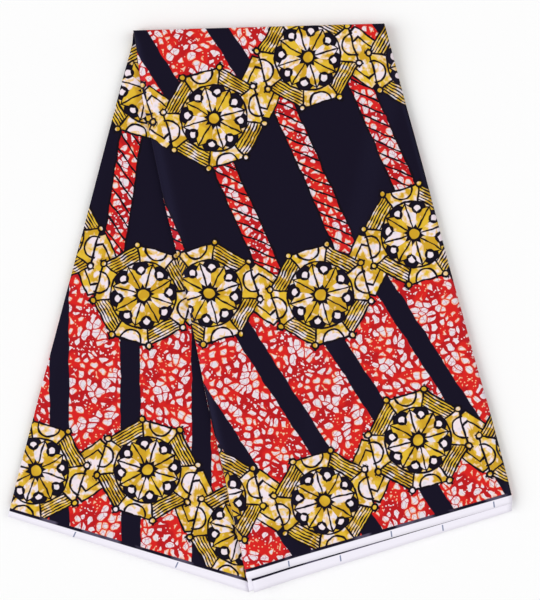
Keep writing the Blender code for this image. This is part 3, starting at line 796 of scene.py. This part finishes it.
def make_ply(name, left_line, right_line, rolls, height, to_cloth, node):
    """One ply over a leaf, from its left and right lines and its left and top rolls."""
    foot, toe = left_line([1.0])[0], right_line([1.0])[0]
    width, length = np.hypot(*(toe - foot)), np.hypot(*(foot - TOP_LEFT))
    across, side_drop, across_cloth = from_fold(width, rolls[0], MESH_COLUMNS, CLOSER_BY_FOLD)
    down, top_drop, down_cloth = from_fold(length, rolls[1], MESH_ROWS)
    plan = leaf_plan(left_line(down), right_line(down), across)
    drop = np.maximum(side_drop[None, :], top_drop[:, None])
    points = np.concatenate((plan, (height(plan) - drop)[:, :, None]), -1).reshape(-1, 3)
    places = to_cloth(leaf_plan(left_line(down_cloth), right_line(down_cloth), across_cloth))
    faces = grid_faces(np.arange(len(points)).reshape(plan.shape[:2]))
    ply = new_piece(name, points, faces, places.reshape(-1, 2)[faces], node)
    thick = ply.modifiers.new("ply", "SOLIDIFY")
    thick.thickness = PLY
    thick.offset = -1
    sides = np.diff(plan, axis=0)[:, :-1], np.diff(plan, axis=1)[:-1]
    area = abs(sides[0][..., 0] * sides[1][..., 1] - sides[0][..., 1] * sides[1][..., 0]).sum()
    return ply, float(area)


def under_right_leaf(down):
    """The hidden edge: under the inner fold, reaching less far near the two ends."""
    down = np.asarray(down)
    reach = np.minimum(TUCK, TUCK_AT_ENDS + TUCK_SLOPE * np.minimum(down, 1 - down))
    points = inner_fold(down)
    points[:, 0] += reach
    points += (LEFT_TOE - points[-1]) * ease((down - 1 + TOE_SHARE) / TOE_SHARE)[:, None]
    return points


def left_ply_height(plan):
    """The ply turns down a little towards its pleat."""
    from_side = beside(plan, TOP_LEFT, LEFT_FOOT)
    return left_height(plan) - PLEAT_TURN_DOWN * (1 - ease(from_side / PLEAT_TURN_REACH))


left_top_ply, left_area = make_ply(
    "left_top_ply", left_side, under_right_leaf, (PLEAT_ROLL, 0.0), left_ply_height,
    left_map, "left_leaf")

# The right leaf's pleats: a second stack like the first, laid over it. Beyond the left
# leaf's edge it comes down to the table. Its right side ends in the cloth's raw cut end,
# with pleats below it.
RIGHT_FOOT = np.array((0.2764, -0.2163))
UNDER_TOE = np.array((-0.0137, -0.3144))
UNDER_FOOT = np.array((0.2790, -0.2249))
RIGHT_LEAF_RISE = 0.0081
OVER_LEFT_STACK = 0.0070
DRAPE_REACH = 0.045
FOLD_BOWS_OUT = 0.003
SWELL_REACH = 0.0125
SWELL_WAVER = 0.0035
SWELL_WAVES = 15
SWELL_START = -0.8
SWELL_DROOP = 0.0030
TOP_DROOP = 0.0014
TOP_DROOP_REACH = 0.009
STACK_BELOW_TWO_PLIES = 0.0013
RIGHT_SIDE_BOW = (
    Bow(0.00, 0.0), Bow(0.12, 0.0005), Bow(0.30, 0.0013), Bow(0.50, 0.0012), Bow(0.65, 0.0020),
    Bow(0.82, 0.0036), Bow(0.93, 0.0036), Bow(0.97, 0.0030), Bow(1.00, -0.0010),
)
RIGHT_CREASES = (
    Crease(0.052, 0.175, 14, 0.120, 0.014, -0.0009),
    Crease(0.125, -0.030, 22, 0.150, 0.019, 0.0008),
    Crease(0.030, -0.125, 10, 0.120, 0.013, -0.0008),
    Crease(0.190, -0.130, 76, 0.080, 0.021, -0.0009),
    Crease(-0.010, 0.055, 104, 0.090, 0.018, 0.0006),
    Crease(0.112, 0.255, 8, 0.060, 0.012, -0.0006),
    Crease(0.215, -0.055, 30, 0.070, 0.012, -0.0006),
)


def over_left_leaf(plan):
    """1 where the right leaf lies on the left one, down to 0 where it lies on the table."""
    return ease(1 - beside(plan, TOP_RIGHT, LEFT_TOE) / DRAPE_REACH)


def right_map(plan):
    return cloth_map(plan, RIGHT_TOE, lean=16.1, start=0.012, trimmed=0.0026)


def right_height(plan):
    """The leaf's upper face: it droops softly towards its inner fold and its top."""
    from_fold_line = beside(plan, TOP_LEFT, RIGHT_TOE) + FOLD_BOWS_OUT
    from_top = beside(plan, TOP_RIGHT, TOP_LEFT)
    swell = SWELL_REACH + SWELL_WAVER * np.sin(SWELL_WAVES * from_top + SWELL_START)
    droop = SWELL_DROOP * np.clip(1 - from_fold_line / swell, 0, 1) ** 2
    droop = droop + TOP_DROOP * (1 - ease(from_top / TOP_DROOP_REACH))
    lying = RIGHT_LEAF_RISE + LEFT_LEAF_TOP * over_left_leaf(plan)
    return lying - droop + relief(plan, RIGHT_CREASES)


def under_fold(down):
    """The inner fold again, as long as the lower plies, which reach further down."""
    longer = np.hypot(*(UNDER_TOE - TOP_LEFT)) / np.hypot(*(RIGHT_TOE - TOP_LEFT))
    points = line(TOP_LEFT, UNDER_TOE, down)
    points[:, 0] += bow(INNER_FOLD_BOW, np.asarray(down) * longer)
    return points


def under_side(down):
    """The cut end of the lower plies, which bows out before it reaches the selvedge."""
    points = line(TOP_RIGHT, UNDER_FOOT, down)
    points[:, 0] += bow(RIGHT_SIDE_BOW, np.asarray(down))
    return points


right_plan = leaf_plan(under_fold(np.linspace(0, 1, MESH_ROWS + 1)),
                       under_side(np.linspace(0, 1, MESH_ROWS + 1)),
                       np.linspace(0, 1, MESH_COLUMNS + 1))
right_top = right_height(right_plan) - STACK_BELOW_TWO_PLIES
right_under = OVER_LEFT_STACK * over_left_leaf(right_plan)
right_stack = make_stack("right_stack", right_plan, right_under, right_top, right_map, seed=6)

# The right leaf's second ply, the other half of the doubled cloth. Only its selvedge
# shows, because the two halves don't lie quite edge to edge.
SECOND_PLY_BELOW = 0.0006
SECOND_PLY_START = 0.0036
SECOND_PLY_SET_IN = 0.0062
SECOND_PLY_SHORT = 0.0004


def second_left(down):
    points = under_fold(SECOND_PLY_START + (1 - SECOND_PLY_START) * np.asarray(down))
    points[:, 0] += SECOND_PLY_SET_IN
    return points


def second_right(down):
    points = under_side(SECOND_PLY_START + (1 - SECOND_PLY_START) * np.asarray(down))
    points[:, 0] -= SECOND_PLY_SHORT
    return points


def second_height(plan):
    return right_height(plan) - SECOND_PLY_BELOW


def second_map(plan):
    """Its print lies parallel to the first ply's, and not quite to its own raw edge."""
    return cloth_map(plan, UNDER_TOE, lean=16.6, start=0.071, trimmed=0.0)


right_second_ply, second_area = make_ply(
    "right_second_ply", second_left, second_right, (0.0, 0.0), second_height, second_map,
    "right_under_ply")

# The right leaf's top ply, the face of the whole folded cloth. It rolls round the inner
# fold at its left and over the doubled edge at the top, and ends in its selvedge at the
# bottom and in the raw cut end at its right.
INNER_ROLL = 0.0015
MIDDLE_ROLL = 0.0020


def right_side(down):
    """The cut end again, which stops a little short of the lower plies' selvedge."""
    shorter = np.hypot(*(RIGHT_FOOT - TOP_RIGHT)) / np.hypot(*(UNDER_FOOT - TOP_RIGHT))
    points = line(TOP_RIGHT, RIGHT_FOOT, down)
    points[:, 0] += bow(RIGHT_SIDE_BOW, np.asarray(down) * shorter)
    return points


right_top_ply, right_area = make_ply(
    "right_top_ply", inner_fold, right_side, (INNER_ROLL, MIDDLE_ROLL), right_height,
    right_map, "right_leaf")
